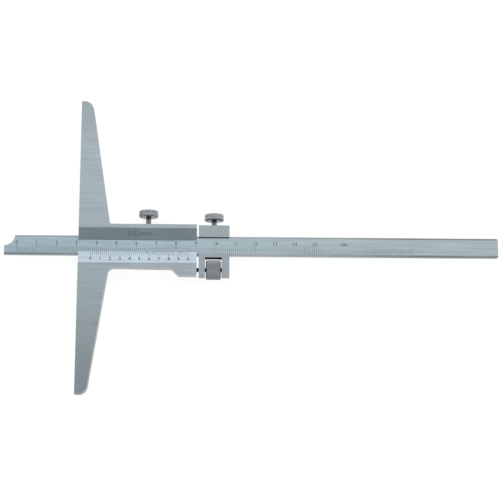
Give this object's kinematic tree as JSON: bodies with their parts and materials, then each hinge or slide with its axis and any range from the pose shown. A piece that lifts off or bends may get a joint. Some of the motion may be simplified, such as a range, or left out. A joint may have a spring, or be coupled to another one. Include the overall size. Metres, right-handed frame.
{
  "type": "vernier depth gauge",
  "caption": "Vernier depth gauge: T-shaped measuring base and frame on a sliding graduated beam, with knurled lock screws and a fine-adjustment clamp and nut.",
  "frame": {"origin": "centre of the measuring face of the crosspiece, on the axis of the beam", "axes": "+X along the beam, out of the back of the measuring face; +Y along the crosspiece, towards the lock screws; +Z out of the side with the scales"},
  "size_m": [0.25, 0.15, 0.0098],
  "materials": {
    "satin_steel": "satin chrome-plated stainless steel",
    "knurled_steel": "turned and knurled steel",
    "dull_steel": "plain ground steel",
    "black_finish": "blackened thread and scale filling"
  },
  "bodies": {
    "base": {"base_frame": "satin_steel", "fine_screw": "black_finish", "screw_pin": "dull_steel"},
    "beam": {"beam": "satin_steel"},
    "frame_gib": {"frame_gib": "dull_steel"},
    "frame_lock_screw": {"frame_lock_screw": "knurled_steel"},
    "clamp": {"clamp_body": "satin_steel"},
    "clamp_gib": {"clamp_gib": "dull_steel"},
    "clamp_lock_screw": {"clamp_lock_screw": "knurled_steel"},
    "fine_nut": {"fine_nut": "knurled_steel"}
  },
  "joints": [
    {"name": "beam_slide", "type": "slide", "parent": "base", "child": "beam", "axis": [-1, 0, 0], "range_m": [-0.0372, 0.1128]},
    {"name": "frame_gib_press", "type": "slide", "parent": "base", "child": "frame_gib", "axis": [0, -1, 0], "range_m": [0, 0.0001125]},
    {"name": "frame_lock", "type": "hinge", "parent": "base", "child": "frame_lock_screw", "pos_m": [0.035, 0.0148, 0], "axis": [0, -1, 0], "range_deg": [0, 90.5]},
    {"name": "clamp_slide", "type": "slide", "parent": "base", "child": "clamp", "axis": [1, 0, 0], "range_m": [-0.0008, 0.004]},
    {"name": "fine_nut_turn", "type": "hinge", "parent": "clamp", "child": "fine_nut", "pos_m": [0.06825, -0.01215, 0], "axis": [1, 0, 0], "range_deg": [-580, 2885]},
    {"name": "clamp_gib_press", "type": "slide", "parent": "clamp", "child": "clamp_gib", "axis": [0, -1, 0], "range_m": [0, 0.0001125]},
    {"name": "clamp_lock", "type": "hinge", "parent": "clamp", "child": "clamp_lock_screw", "pos_m": [0.06825, 0.0135, 0], "axis": [0, -1, 0], "range_deg": [0, 90.5]}
  ],
  "couplings": [
    {"joint": "frame_lock", "follows": "frame_gib_press", "rad_per_m": 13963},
    {"joint": "fine_nut_turn", "follows": "clamp_slide", "rad_per_m": 12566},
    {"joint": "clamp_lock", "follows": "clamp_gib_press", "rad_per_m": 13963}
  ]
}
